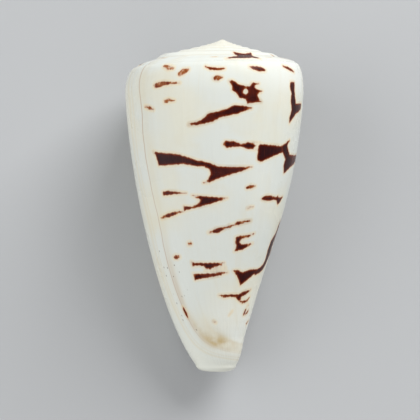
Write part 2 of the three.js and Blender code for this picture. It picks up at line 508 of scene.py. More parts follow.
# A closed block bent round the axis, to be cut out of the shell. Past the lip, where the hollow
# opens out, turns back is below 0.
def hollowBlock(tree, size, fromTurns, toTurns, columns, openMouth):
    hollow = hollowShape
    cube = tree.nodes.new("GeometryNodeMeshCube")
    cube.inputs["Size"].default_value = (1, 1, 1)
    setCount(tree, cube.inputs["Vertices X"], columns)
    cube.inputs["Vertices Y"].default_value = 2
    setCount(tree, cube.inputs["Vertices Z"], size["Hollow Rows"])
    x, outward, up = gridPosition(tree)
    turnsBack = mixed(fromTurns, toTurns, x)
    back = calc("MAXIMUM", turnsBack, 0.0)
    closing = smoothed((back - size["Hollow Turns"] + hollow["end closing"]) / hollow["end closing"])
    wall = mixed(size["Lip Thickness"], size["Wall Thickness"], smoothed(back / hollow["wall growth"]))
    rising = smoothed((back - hollow["rise start"]) / hollow["rise turns"])
    floorLevel = hollow["floor rise"] * rising + hollow["floor level"]
    roofLevel = rampPoint(size, back, hollow["roof across"])[1] - wall
    level = mixed(floorLevel, roofLevel, calc("SINE", up * (math.pi / 2)))
    nearFront = near(calc("MAXIMUM", level, 0.0), 0.0, hollow["axis reach"])
    fading = smoothed(1.0 + turnsBack / hollow["mouth turns"])
    axisCut = hollow["axis cut"] * nearFront * fading
    inner = outerRadius(size, turnsBack + 1.0, level) + hollow["axis gap"] - axisCut
    if openMouth:
        outer = size["Lip Radius"] + hollow["mouth room"]
    else:
        corner = wall * hollow["roof round"] * up ** hollow["roof power"]
        ceiling = outerRadius(size, back, level + corner) - wall
        outer = calc("MAXIMUM", ceiling, inner + hollow["least room"])
    radius = mixed(inner, mixed(outer, inner + hollow["least room"], closing), outward)
    position = placedPosition(size, radius, level, turnsBack)
    flip = tree.nodes.new("GeometryNodeFlipFaces")
    tree.links.new(moved(tree, cube.outputs["Mesh"], position), flip.inputs[0])
    return flip.outputs[0]


# Takes away the loose crumbs that the cut leaves in the narrow front of the hollow
def withoutCrumbs(tree, mesh):
    island = tree.nodes.new("GeometryNodeInputMeshIsland")
    tally = tree.nodes.new("GeometryNodeAccumulateField")
    tally.data_type = "INT"
    tree.links.new(island.outputs["Island Index"], tally.inputs["Group ID"])
    remove = tree.nodes.new("GeometryNodeDeleteGeometry")
    isCrumb = calc("LESS_THAN", Term(tree, tally.outputs["Total"]), crumbPoints)
    tree.links.new(mesh, remove.inputs["Geometry"])
    tree.links.new(isCrumb.socket, remove.inputs["Selection"])
    return remove.outputs[0]


def shellTree(material):
    tree = bpy.data.node_groups.new("coiledShell", "GeometryNodeTree")
    tree.interface.new_socket("Geometry", in_out="OUTPUT", socket_type="NodeSocketGeometry")
    for name in shellSizes:
        tree.interface.new_socket(name, in_out="INPUT", socket_type="NodeSocketFloat")
    for name in shellCounts:
        tree.interface.new_socket(name, in_out="INPUT", socket_type="NodeSocketInt")
    entry = tree.nodes.new("NodeGroupInput")
    size = {name: Term(tree, entry.outputs[name]) for name in (*shellSizes, *shellCounts)}
    cut = tree.nodes.new("GeometryNodeMeshBoolean")
    cut.operation = "DIFFERENCE"
    cut.solver = "MANIFOLD"
    tree.links.new(labelled(tree, outerSolid(tree, size), 1.0), cut.inputs[0])
    start, mouthStart = hollowShape["block start"], -hollowShape["mouth turns"]
    within = hollowBlock(tree, size, start, size["Hollow Turns"], size["Hollow Columns"], False)
    mouth = hollowBlock(tree, size, mouthStart, hollowShape["mouth end"], size["Hollow Rows"], True)
    for block in (within, mouth):
        tree.links.new(labelled(tree, block, 0.0), cut.inputs[1])
    realize = tree.nodes.new("GeometryNodeRealizeInstances")
    setMaterial = tree.nodes.new("GeometryNodeSetMaterial")
    setMaterial.inputs["Material"].default_value = material
    output = tree.nodes.new("NodeGroupOutput")
    tree.links.new(withoutCrumbs(tree, cut.outputs["Mesh"]), realize.inputs[0])
    tree.links.new(realize.outputs[0], setMaterial.inputs["Geometry"])
    tree.links.new(setMaterial.outputs[0], output.inputs[0])
    print("shell's tree made:", len(tree.nodes), "nodes")
    return tree


def plainMeshFromTree(tree, name):
    holder = bpy.data.objects.new(name, bpy.data.meshes.new(name))
    bpy.context.scene.collection.objects.link(holder)
    modifier = holder.modifiers.new("shape", "NODES")
    modifier.node_group = tree
    values = {**shellSizes, **shellCounts}
    for item in tree.interface.items_tree:
        if item.in_out == "INPUT":
            modifier[item.identifier] = values[item.name]
    bpy.context.view_layer.update()
    evaluated = holder.evaluated_get(bpy.context.evaluated_depsgraph_get())
    mesh = bpy.data.meshes.new_from_object(evaluated)
    holder.modifiers.remove(modifier)
    holder.data = mesh
    return holder


def pointsOf(mesh):
    points = np.empty(len(mesh.vertices) * 3)
    mesh.vertices.foreach_get("co", points)
    return points.reshape(-1, 3)


# Marks on the back, as they look from squarely above it: millimetres to the right of the axis, and
# level. Those "inDegrees" give degrees round from the right instead. An outline is closed; a stroke
# also has its width at each point. A mark is faded by its "pale", and no place counts as further
# inside it than "mostInside", which keeps it orange. Most are blunt on the left and end in a point
# on the right.
backMarks = [
    # the long band with a barb below it
    {"outline": [
        (-12.2, 39.5), (-11.0, 39.3), (-8.1, 39.1), (-6.4, 38.7), (-4.2, 38.0), (-2.0, 37.6),
        (-0.7, 37.0), (1.5, 36.9), (5.7, 37.0), (3.7, 36.2), (1.1, 35.4), (-0.8, 34.7), (-1.9, 34.1),
        (-3.1, 34.0), (-2.3, 34.4), (-1.7, 35.6), (-2.0, 36.5), (-2.9, 36.9), (-5.0, 37.1),
        (-6.8, 37.4), (-9.4, 37.1), (-11.2, 37.0), (-11.6, 38.5),
    ]},
    # the upper band: a bar in two beads, a block and a piece that runs round the edge
    {"outline": [
        (0.4, 41.0), (0.8, 41.6), (2.4, 41.5), (3.8, 41.1), (4.8, 41.4), (5.6, 41.3), (6.4, 40.9),
        (5.7, 40.2), (4.6, 40.3), (3.8, 40.7), (2.4, 40.6), (1.0, 40.4),
    ]},
    {"stroke": [(5.6, 40.8, 1.2), (7.0, 40.7, 1.2)], "mostInside": -0.18},
    {"outline": [
        (6.8, 41.0), (7.2, 41.1), (11.1, 40.8), (11.2, 39.8), (9.0, 38.8), (7.2, 37.9), (6.6, 38.3),
    ]},
    {"outline": [
        (11.0, 40.9), (11.5, 41.2), (12.4, 42.0), (12.4, 41.7), (12.0, 41.2), (12.1, 40.4),
        (12.4, 39.3), (13.5, 39.1), (13.3, 37.8), (12.5, 37.0), (11.4, 35.9), (11.4, 37.4),
        (11.7, 38.5), (11.1, 39.8),
    ]},
    {"stroke": [(12, 38.6, 1.4), (0, 38.3, 1.2), (-14, 37.5, 0.2)], "inDegrees": True},
    # the cluster under the shoulder; its hole comes with the holes below
    {"outline": [
        (1.3, 52.5), (1.9, 52.6), (3.0, 51.9), (4.4, 51.5), (5.2, 51.5), (5.4, 52.2), (6.7, 52.1),
        (5.8, 51.6), (6.2, 51.1), (7.3, 50.7), (6.4, 50.2), (6.7, 49.3), (7.2, 48.8), (4.7, 48.5),
        (4.4, 49.3), (3.2, 49.5), (2.6, 50.4), (1.9, 50.8), (1.9, 51.5),
    ], "hole": (4.3, 50.6, 0.5)},
    # the slanting stroke
    {"stroke": [
        (-5.8, 44.5, 0.3), (-4.3, 44.7, 0.5), (-3.0, 45.2, 0.9), (-1.9, 45.8, 1.5), (-0.4, 46.4, 1.0),
        (1.4, 46.9, 1.2), (2.5, 47.3, 1.6), (3.8, 47.5, 1.0), (5.4, 47.6, 0.2),
    ]},
    # the upright one near the right edge
    {"outline": [
        (12.4, 52.5), (13.1, 52.4), (13.1, 50.9), (13.4, 48.5), (14.4, 48.6), (14.3, 47.6),
        (13.3, 46.6), (12.3, 45.0), (12.3, 46.0), (12.7, 47.4), (12.5, 48.9), (12.6, 50.4), (12.3, 51.6),
    ]},
    {"outline": [
        (-10.4, 32.2), (-9.4, 32.4), (-8.2, 32.3), (-6.1, 32.1), (-8.2, 31.9), (-9.3, 31.7),
        (-10.3, 31.6),
    ]},
    # the chevron and the thin stroke before it
    {"outline": [
        (-5.1, 31.7), (-3.2, 31.6), (-1.0, 31.4), (1.3, 31.3), (-0.8, 30.5), (-2.7, 30.0), (-4.0, 29.6),
        (-5.2, 29.3), (-6.5, 28.9), (-6.5, 29.7), (-5.0, 29.6), (-3.9, 30.2), (-3.5, 30.9),
    ]},
    {"stroke": [
        (-10.6, 27.5, 0.2), (-9.3, 28.0, 0.6), (-8.4, 28.3, 0.5), (-7.5, 28.6, 0.3), (-6.6, 28.8, 0.1),
    ]},
    {"stroke": [(4.8, 33.2, 0.3), (5.5, 33.4, 0.6), (6.3, 33.5, 0.1)]},
    {"stroke": [
        (7.7, 31.3, 0.4), (8.2, 31.4, 0.8), (9.0, 31.4, 0.9), (9.7, 31.4, 0.5), (10.2, 31.3, 0.4),
    ]},
    {"outline": [
        (10.0, 31.5), (10.4, 31.8), (10.7, 31.5), (11.3, 31.7), (10.9, 30.9), (10.4, 30.2), (10.2, 30.9),
    ]},
    {"stroke": [(5.0, 29.5, 0.2), (5.5, 29.7, 0.3), (6.0, 29.8, 0.1)], "pale": 0.05},
    # a chain of beads
    {"stroke": [
        (-2.0, 25.0, 0.1), (-1.2, 25.2, 0.4), (-0.5, 25.4, 0.8), (0.4, 25.7, 0.5), (1.3, 26.0, 0.1),
        (1.8, 26.2, 0.4), (2.3, 26.4, 0.1), (3.4, 26.8, 0.6), (4.3, 27.0, 0.3), (5.2, 27.2, 0.3),
        (5.6, 27.3, 0.1),
    ]},
    # the fork
    {"outline": [
        (2.9, 24.2), (3.4, 24.4), (4.8, 24.6), (6.3, 25.0), (5.2, 24.3), (3.9, 24.0), (3.6, 23.4),
        (4.0, 23.0), (4.9, 23.0), (6.0, 23.2), (5.0, 22.5), (4.0, 22.0), (2.7, 21.7), (3.1, 22.5),
        (2.9, 23.3),
    ]},
    {"stroke": [(-5.5, 22.9, 0.4), (-5.3, 23.0, 0.5)], "mostInside": 0.06},
    {"stroke": [(-8.1, 20.4, 0.4), (-7.7, 20.5, 0.7), (-7.2, 20.6, 0.3)], "mostInside": 0.06},
    # two bars with a pale tan patch between them
    {"outline": [
        (-5.0, 19.7), (-4.4, 19.4), (-3.6, 19.5), (-2.2, 19.5), (0.9, 19.6), (0.1, 19.1), (-1.0, 18.8),
        (-1.6, 18.4), (-2.4, 18.5), (-2.8, 19.0), (-3.9, 19.1), (-4.8, 18.9),
    ]},
    {"outline": [
        (-4.6, 17.5), (-3.2, 17.5), (-1.5, 17.6), (0.1, 17.8), (1.6, 17.9), (0.4, 17.4), (-1.5, 17.0),
        (-3.5, 16.6), (-4.3, 16.4),
    ]},
    {"stroke": [(-1.8, 18.1, 1.2), (-0.4, 18.2, 1.3), (0.7, 18.6, 0.9)], "mostInside": -0.19},
    # the triangle whose tail climbs round the edge
    {"outline": [
        (2.6, 18.2), (3.3, 18.3), (4.2, 17.9), (5.6, 18.4), (6.7, 18.5), (6.9, 18.0), (6.2, 17.5),
        (5.1, 16.6), (3.9, 15.6), (3.6, 16.5), (3.2, 17.4),
    ]},
    {"stroke": [
        (42, 18.1, 0.9), (34, 18.5, 1.0), (27, 19.1, 1.1), (23, 20.0, 1.5), (21, 21.1, 2.1),
        (21, 22.2, 2.4), (21, 23.2, 2.1), (16, 24.3, 1.7), (13, 25.4, 1.1), (13, 26.4, 1.0),
        (5, 27.3, 1.4), (-6, 27.9, 1.1), (-18, 28.4, 0.2),
    ], "inDegrees": True},
    {"stroke": [
        (8, 21.4, 1.4), (3, 22.8, 1.3), (-2, 24.2, 0.9), (-3, 25.6, 0.8), (-5, 27.0, 1.1),
    ], "inDegrees": True},
    {"stroke": [(6, 34.0, 0.3), (-5, 34.2, 0.3)], "inDegrees": True},
    {"stroke": [(4, 31.9, 0.3), (-7, 31.6, 0.5)], "inDegrees": True},
    # the lowest ones
    {"outline": [
        (0.1, 13.7), (2.4, 13.9), (3.6, 13.9), (4.4, 14.4), (5.8, 14.8), (5.1, 14.1), (4.1, 13.5),
        (3.8, 13.1), (4.2, 12.7), (5.0, 12.9), (5.6, 13.5), (5.2, 12.7), (4.3, 12.3), (3.6, 12.8),
        (3.1, 13.4), (2.2, 13.5), (0.9, 13.3),
    ]},
    {"stroke": [(4.6, 10.3, 0.3), (4.8, 10.9, 0.4), (5.0, 11.3, 0.1)]},
    {"stroke": [(4.8, 10.3, 0.2), (5.2, 10.7, 0.3), (5.4, 11.1, 0.1)]},
    {"stroke": [(5.1, 8.7, 0.2), (5.4, 9.1, 0.2)]},
    {"stroke": [(1.9, 10.1, 0.2), (2.5, 10.9, 0.3)], "pale": 0.2},
    # a dark slit and two faint dots
    {"stroke": [(-6.4, 11.4, 0.2), (-6.1, 10.8, 0.5), (-5.8, 10.2, 0.5), (-5.5, 9.6, 0.2)]},
    {"stroke": [(-0.8, 9.0, 0.3), (-0.5, 8.8, 0.3)], "pale": 0.12},
    {"stroke": [(5.2, 12.1, 0.2), (5.4, 12.0, 0.2)], "pale": 0.15},
    # small orange ones on the left
    {"stroke": [
        (-12.1, 51.4, 0.6), (-11.4, 51.6, 0.9), (-10.6, 51.8, 0.7), (-9.6, 51.9, 0.4), (-7.6, 52.0, 0.1),
    ], "mostInside": 0.04},
    {"stroke": [(-10.2, 48.6, 0.5), (-9.6, 48.8, 0.6), (-8.5, 48.8, 0.1)], "mostInside": 0.03},
    {"stroke": [(-13.8, 47.6, 0.3), (-13.1, 47.4, 0.6), (-12.3, 47.1, 0.3)], "mostInside": 0.03},
    {"stroke": [(-10.5, 55.0, 0.3), (-9.6, 54.7, 0.7), (-8.8, 54.6, 0.3)], "mostInside": 0.0},
    {"stroke": [(-7.6, 53.6, 0.7), (-7.0, 54.0, 1.0), (-6.2, 54.4, 0.5)], "mostInside": 0.0},
    {"stroke": [(-1.2, 52.9, 0.6), (-0.8, 53.0, 0.9), (-0.1, 53.1, 0.4)], "mostInside": 0.04},
    # a few faint ones low on the lip's side
    {"stroke": [(191, 51.0, 0.4), (187, 51.4, 0.7), (183, 51.5, 0.2)], "inDegrees": True, "pale": 0.1},
    {"stroke": [(203, 46.6, 0.3), (199, 46.9, 0.6), (195, 46.9, 0.2)], "inDegrees": True, "pale": 0.1},
    {"stroke": [(193, 39.6, 0.5), (189, 39.9, 0.7), (183, 40.0, 0.1)], "inDegrees": True, "pale": 0.12},
    {"stroke": [(209, 37.0, 0.3), (203, 37.5, 0.8), (196, 37.7, 0.2)], "inDegrees": True, "pale": 0.08},
    {"stroke": [(191, 29.4, 0.3), (187, 29.6, 0.5)], "inDegrees": True, "pale": 0.1},
    {"stroke": [(203, 24.0, 0.3), (197, 24.5, 0.6), (191, 24.6, 0.2)], "inDegrees": True, "pale": 0.1},
    # along the shoulder
    {"stroke": [(-3.0, 55.0, 0.2), (-2.2, 54.7, 0.4), (-0.9, 54.6, 0.4), (0.4, 54.7, 0.2)]},
    {"stroke": [(5.0, 55.1, 0.2), (5.8, 54.9, 0.6), (6.9, 54.7, 0.8), (7.7, 54.5, 0.3)]},
    {"stroke": [(11.0, 55.3, 0.2), (12.0, 54.9, 0.5), (13.0, 54.3, 0.2)]},
]
# Marks on the spire: degrees round from the right, distance from the axis, width
spireMarks = [
    {"outline": [
        (79, 10.4), (74, 10.7), (68, 10.8), (61, 10.3), (64, 11.9), (61, 13.4), (68, 13.1), (73, 13.5),
        (80, 13.5), (87, 13.8), (81, 12.7), (77, 12.4), (77, 11.6),
    ], "pale": -0.1, "mostInside": 0.3},
    {"stroke": [(31, 10.2, 0.4), (26, 11.1, 0.7), (24, 12.1, 0.5), (19, 12.7, 0.2)], "pale": 0.08},
    {"stroke": [(51, 12.3, 0.2), (46, 12.5, 0.3)], "pale": 0.12},
    {"stroke": [(98, 13.0, 0.3), (95, 13.0, 0.4)], "pale": 0.1},
    {"stroke": [(138, 9.8, 0.3), (130, 9.8, 0.3)], "pale": 0.05},
    {"stroke": [(152, 12.3, 0.2), (146, 12.4, 0.4)], "pale": 0.05},
    {"stroke": [(169, 14.8, 0.5), (165, 14.9, 0.6)]},
]
# Shapes for the side that faces down, one unit long and one unit high
markShapes = {
    "wedge": [
        (0, 0.5), (0.4, 0.42), (1, 0.12), (0.55, -0.12), (0.3, -0.5), (0.05, -0.42), (0.1, 0.05),
    ],
    "barb": [
        (0, 0.5), (0.3, 0.3), (1, 0.34), (0.62, 0.0), (0.3, -0.5), (0.2, -0.48), (0.34, -0.05),
        (0.2, 0.1),
    ],
    "bar": [(0, 0.3), (0.5, 0.22), (1, 0.1), (0.6, -0.15), (0.04, -0.3)],
    "fork": [
        (0, 0.4), (0.9, 0.5), (0.45, 0.2), (0.3, 0.0), (0.95, -0.2), (0.4, -0.5), (0.1, -0.45),
        (0.15, 0.0),
    ],
}
# How they are strewn. Pairs are the least and the most that is drawn.
strewing = {
    "seed": 14,
    "shapes": ("wedge", "barb", "bar", "fork", "bar"),
    "first row": 7.5,  # levels
    "last row": 52.0,
    "row spacing": 4.4,
    "row starts": (-22, -8),  # degrees round from the right
    "row end": -118,
    "off the row": (-1.2, 1.2),
    "lengths": (3.0, 9.0),
    "heights": (0.8, 2.6),
    "full size level": 50,
    "front length": 0.35,  # share of the length left at the front tip
    "front height": 0.5,
    "leans": (-0.25, 0.1),
    "gaps": (1.5, 5.0),
    "kept": 0.8,  # share of the marks that is kept
    # on the spire: degrees round, and millimetres in from the shoulder
    "spire start": -16.0,
    "spire end": -162,
    "spire insets": (0.1, 2.6),
    "spire lengths": (0.7, 2.6),
    "spire leans": (-14, 10),
    "spire widths": (0.3, 1.3),
    "spire thinning": (1.0, 0.7, 0.2),  # from the outer end to the inner
    "spire gaps": (7, 33),
}
markReach = 2.0  # marks are felt no further away than this
# Where the back is looked at from, squarely above the axis
eye = {
    "height": 420.0,
    "level": 29.1,
    "across": -1.8,
    "rounds": 8,  # of closing in on the place where a line of sight meets the shell
    "edge": 0.985,  # share of the radius beyond which a place is held at the outline
}


def turnsAt(degrees, level):
    return (placedAngle(shellSizes, 0.0, level) - degrees) / 360 % 1.0


def shoulderAt(degrees):
    return rampPoint(shellSizes, turnsAt(degrees, shellSizes["Wide Level"]), 0.0)


# Where a place on the back lies round the shell, given how it looks from above
def placeOnBack(across, level):
    degrees, trueLevel = 90.0, level
    for _ in range(eye["rounds"]):
        radius = outerRadius(shellSizes, turnsAt(degrees, trueLevel), trueLevel)
        nearer = 1 - radius * math.sin(math.radians(degrees)) / eye["height"]
        trueAcross = eye["across"] + (across - eye["across"]) * nearer
        trueLevel = eye["level"] + (level - eye["level"]) * nearer
        degrees = math.degrees(math.acos(max(-eye["edge"], min(eye["edge"], trueAcross / radius))))
    return degrees, trueLevel


def placeOnSpire(degrees, radius):
    edgeRadius, edgeLevel = shoulderAt(degrees)
    return degrees, edgeLevel + edgeRadius - radius


def corners(mark):
    return mark.get("stroke") or mark["outline"]


# The mark's points as degrees round, height up the surface and half width
def markPoints(mark, onSpire):
    points = []
    for first, second, *width in corners(mark):
        if onSpire:
            degrees, height = placeOnSpire(first, second)
        elif "inDegrees" in mark:
            degrees, height = first, second
        else:
            degrees, height = placeOnBack(first, second)
        points.append((degrees, height, width[0] / 2 if width else 0.0))
    return np.array(points)


# Distances are above 0 inside a mark and below 0 outside it
def strokeDistance(x, y, points):
    best = np.full(len(x), -markReach)
    for (ax, ay, aw), (bx, by, bw) in zip(points, points[1:]):
        length = max((bx - ax) ** 2 + (by - ay) ** 2, 1e-6)
        share = np.clip(((x - ax) * (bx - ax) + (y - ay) * (by - ay)) / length, 0, 1)
        away = np.hypot(x - ax - share * (bx - ax), y - ay - share * (by - ay))
        best = np.maximum(best, aw + (bw - aw) * share - away)
    return best


def outlineDistance(x, y, points):
    closed = np.vstack([points, points[:1]])
    closed[:, 2] = 0
    away = -strokeDistance(x, y, closed)
    inside = np.zeros(len(x), bool)
    for (ax, ay, _), (bx, by, _) in zip(closed, closed[1:]):
        if ay != by:
            crosses = (ay > y) != (by > y)
            inside ^= crosses & (x < ax + (y - ay) * (bx - ax) / (by - ay))
    return np.where(inside, away, -away)


# Marks towards the front are smaller: the share of its size that a mark has at a level
def sizeShare(level, atFront):
    return atFront + (1 - atFront) * level / strewing["full size level"]


# Marks on the side that faces down, strewn by rule: rows up the shell, and along each row a mark
# every few millimetres, of a shape and size drawn at random
def strewnMarks():
    draw = np.random.default_rng(strewing["seed"])
    shapes = [markShapes[name] for name in strewing["shapes"]]
    marks = []
    for level in np.arange(strewing["first row"], strewing["last row"], strewing["row spacing"]):
        degrees = draw.uniform(*strewing["row starts"])
        while degrees > strewing["row end"]:
            height = level + draw.uniform(*strewing["off the row"])
            radius = outerRadius(shellSizes, turnsAt(degrees, height), height)
            shape = shapes[draw.integers(len(shapes))]
            length = draw.uniform(*strewing["lengths"]) * sizeShare(level, strewing["front length"])
            tall = draw.uniform(*strewing["heights"]) * sizeShare(level, strewing["front height"])
            lean = draw.uniform(*strewing["leans"])
            outline = [
                (degrees - math.degrees(x * length / radius), height + y * tall + lean * x * length)
                for x, y in shape
            ]
            if draw.random() < strewing["kept"]:
                marks.append({"outline": outline, "inDegrees": True})
            degrees -= math.degrees((length + draw.uniform(*strewing["gaps"])) / radius)
    return marks


# Marks on the hidden half of the spire, strewn in the same way but more loosely
def strewnSpireMarks():
    draw = np.random.default_rng(strewing["seed"] + 1)
    marks = []
    degrees = strewing["spire start"]
    while degrees > strewing["spire end"]:
        outer = shoulderAt(degrees)[0] - draw.uniform(*strewing["spire insets"])
        inner = outer - draw.uniform(*strewing["spire lengths"])
        lean = draw.uniform(*strewing["spire leans"])
        width = draw.uniform(*strewing["spire widths"])
        path = [(degrees, outer), (degrees + lean / 3, (outer + inner) / 2), (degrees + lean, inner)]
        widths = [width * share for share in strewing["spire thinning"]]
        marks.append({"stroke": [(*place, wide) for place, wide in zip(path, widths)]})
        degrees -= draw.uniform(*strewing["spire gaps"])
    return marks


def markDistances(degrees, height):
    best = np.full(len(degrees), -markReach)
    sides = [(mark, False) for mark in (*backMarks, *strewnMarks())]
    spire = [(mark, True) for mark in (*spireMarks, *strewnSpireMarks())]
    for mark, onSpire in (*sides, *spire):
        points = markPoints(mark, onSpire)
        middle = points.mean(axis=0)
        level = min(middle[1], shellSizes["Wide Level"])
        radius = outerRadius(shellSizes, turnsAt(middle[0], level), level)
        if onSpire:
            radius = np.mean([corner[1] for corner in corners(mark)])
        scale = math.radians(1) * radius
        points[:, 0] = (middle[0] - points[:, 0]) * scale
        x = ((middle[0] - degrees + 180) % 360 - 180) * scale
        felt = (x > points[:, 0].min() - markReach) & (x < points[:, 0].max() + markReach)
        felt &= (height > points[:, 1].min() - markReach) & (height < points[:, 1].max() + markReach)
        distanceTo = strokeDistance if "stroke" in mark else outlineDistance
        found = distanceTo(x[felt], height[felt], points)
        if "hole" in mark:
            across, level, holeRadius = mark["hole"]
            holeDegrees, holeLevel = placeOnBack(across, level)
            holeX = (middle[0] - holeDegrees) * scale
            found = np.minimum(found, np.hypot(x[felt] - holeX, height[felt] - holeLevel) - holeRadius)
        found = np.minimum(found - mark.get("pale", 0.0), mark.get("mostInside", markReach))
        best[felt] = np.maximum(best[felt], found)
    return best


# How many turns ago the growth line through a place was the lip, at most one. Found by halving.
def growthAge(degrees, level):
    bend = growthBend
    since = (shellSizes["Lip Angle"] - degrees) / 360 % 1.0
    low, high = np.zeros_like(since), np.ones_like(since)
    for _ in range(bend["halvings"]):
        age = (low + high) / 2
        tipLevel = bend["tip now"] + bend["tip rise"] * np.minimum(age, bend["until"])
        fromTip = np.maximum(np.minimum(level, bend["top level"]) - tipLevel, bend["least distance"])
        younger = age + bend["lag"] / 360 / fromTip > since
        low, high = np.where(younger, low, age), np.where(younger, age, high)
    return (low + high) / 2


def addAttribute(mesh, name, values):
    attribute = mesh.attributes.get(name) or mesh.attributes.new(name, "FLOAT", "POINT")
    attribute.data.foreach_set("value", np.asarray(values, np.float32))


# What the material reads: the age of each place in turns, its level, how far it is inside a mark,
# and how far it is from the seam between two turns of the spire
def addSkinAttributes(mesh, points):
    edgeSlack, leastRadius = 0.01, 0.1
    x, level, z = points.T
    degrees = np.degrees(np.arctan2(z, x))
    radius = np.hypot(x, z)
    edgeRadius, edgeLevel = shoulderAt(degrees)
    onSpire = (level > shellSizes["Wide Level"]) & (radius < edgeRadius - edgeSlack)
    height = np.where(onSpire, edgeLevel + edgeRadius - radius, level)
    skin = np.empty(len(mesh.vertices), np.float32)
    mesh.attributes["skin"].data.foreach_get("value", skin)
    distance = np.where(skin > 0.5, markDistances(degrees, height), -markReach)
    wholeTurn = 2 * shellSizes["Spire Growth"]
    spireTurns = np.log(shoulderRadius(shellSizes, 0.0) / np.maximum(radius, leastRadius)) / wholeTurn
    fromEdge = spireTurns - turnsAt(degrees, shellSizes["Wide Level"])
    seam = np.abs(fromEdge % 1.0 - shellSizes["Suture Share"]) * radius * wholeTurn
    olderTurns = np.floor(fromEdge + 1 - shellSizes["Suture Share"])
    age = growthAge(degrees, level) + np.where(onSpire, olderTurns, 0)
    addAttribute(mesh, "age", age)
    addAttribute(mesh, "level", level)
    addAttribute(mesh, "mark", distance)
    addAttribute(mesh, "seam", np.where(onSpire, seam, markReach))
    print("marks placed:", int((distance > 0).sum()), "points inside a mark")


porcelain = {
    "cool white": (0.63, 0.655, 0.615),
    "warm white": (0.655, 0.65, 0.555),
    "bright white": (0.76, 0.775, 0.73),
    "cream": (0.62, 0.54, 0.36),
    "grey line": (0.56, 0.57, 0.54),
    "lip white": (0.68, 0.685, 0.60),
    "inside white": (0.78, 0.77, 0.73),
    "old lip tan": (0.42, 0.27, 0.17),
    "seam tan": (0.50, 0.42, 0.28),
    "stain": (0.46, 0.335, 0.15),
    "speck": (0.12, 0.085, 0.06),
    "halo": (0.74, 0.56, 0.28),
    "orange": (0.42, 0.15, 0.035),
    "red brown": (0.13, 0.016, 0.005),
    "maroon": (0.036, 0.003, 0.002),
    "deep maroon": (0.022, 0.004, 0.005),
    "seam width": 0.25,
    "seam strength": 0.45,
    "roughness": 0.28,
    "roughness spread": 0.14,
    "specular": 0.09,
    "coat": 0.045,
    "coat roughness": 0.2,
    "bump strength": 0.12,
    "bump distance": 0.0001,
}
# Patterns on the skin. Those with "a turn" run along the growth lines: how many there are in a turn,
# and how fast they change with each millimetre of level. The others are clouds of a given scale.
skinPatterns = {
    "clouds": {"scale": 75.0},
    "mottle": {"scale": 140.0, "detail": 4.0, "roughness": 0.6},
    "fog": {"scale": 28.0, "detail": 2.0},
    "streaks": {"a turn": 30.0, "a level": 0.06},
    "fine lines": {"a turn": 230.0, "a level": 0.07, "detail": 4.0, "roughness": 0.6},
    "stain patches": {"scale": 330.0},
    "ragged": {"a turn": 170.0, "a level": 1.1},
    "dark lines": {"a turn": 420.0, "a level": 0.25, "detail": 2.0},
    "dark patches": {"scale": 300.0, "detail": 2.0},
    "grain": {"a turn": 320.0, "a level": 0.3},
    "gloss": {"scale": 180.0, "detail": 4.0},
}
# Layers over the cool white, in order: pattern, value it shows from, how sharply (below 0 where it
# shows under that value), strength and colour, and then another pattern that it keeps to
bodyLayers = [
    ("clouds", 0.40, 4.0, 1.0, "warm white"),
    ("mottle", 0.52, 6.0, 0.14, "cream"),
    ("fog", 0.50, 5.0, 0.5, "bright white"),
    ("streaks", 0.52, 5.0, 0.2, "cream", ("fog", 0.35, 4.0)),
    ("fine lines", 0.55, 5.0, 0.16, "cream"),
    ("fine lines", 0.42, -5.0, 0.25, "grey line"),
]
# Traces of earlier lips: turns ago, reach, strength and colour, and then a pattern that it keeps to
lipTraces = [
    (0.168, 0.006, 0.35, "cream"),
    (0.183, 0.003, 0.3, "cream"),
    (0.224, 0.010, 0.22, "cream"),
    (0.2125, 0.0012, 0.75, "old lip tan", ("streaks", 0.15, 2.2)),
]
lipLook = {
    "young until": 0.12,  # turns ago
    "young fade": 0.08,
    "young strength": 0.5,
    "wobble": 0.022,  # turns that the traces waver by
    "wobble rate": 0.09,
    "wobble place": 3.7,  # another value gives other waves
}
# Where things lie near the front, as centre and reach: "age" in turns, the others in millimetres
skinZones = {
    "trail": {"age": (0.232, 0.016), "level": (6.5, 2.6), "across": (-3.0, 4.0)},
    "heart": {"across": (1.7, 2.4), "level": (5.5, 1.7), "age": (0.25, 0.05)},
    "glow": {"across": (2.0, 4.5), "level": (7.0, 4.0), "age": (0.25, 0.05)},
    "blush": {"age": (0.219, 0.010), "level": (14.0, 7.0)},
    "ridges": {"age": (0.20, 0.018), "level": (3.6, 1.8)},
    "specks": {"age": (0.212, 0.030), "level": (14.0, 6.0)},
}
frontLook = {
    "trail strength": 0.6,
    "stain strength": 0.85,
    "stain keeps to": ("stain patches", 0.3, 3.6),
    "glow strength": 0.55,
    "blush strength": 0.3,
    "ridge strength": 0.6,
    "ridge rate": 1100.0,  # radians in a turn
    "specks a turn": 95.0,
    "speck size": 0.12,
    "speck softness": 0.08,
    "speck thinning": 0.8,
    "speck sharpness": 8.0,
    "speck strength": 0.75,
}
markLook = {
    "raggedness": 0.4,  # millimetres
    # shades by depth inside the mark: 0 and 1 stand for these two, in millimetres
    "first depth": -0.5,
    "depth span": 1.6,
    "shades": [
        (0.0, "halo"), (0.20, "halo"), (0.28, "orange"), (0.37, "red brown"), (0.50, "maroon"),
        (0.85, "deep maroon"),
    ],
    "red lines": ("dark lines", 0.55, 5.0),  # pattern, value it shows from and how sharply
    "line strength": 0.4,
    "red patches": ("dark patches", 0.5, 5.0),
    "patch strength": 0.35,
    "halo reach": 0.62,  # millimetres outside the mark
    "halo fade": 0.5,
    "halo strength": 0.42,
    "edge reach": 0.15,
    "edge fade": 0.17,
}


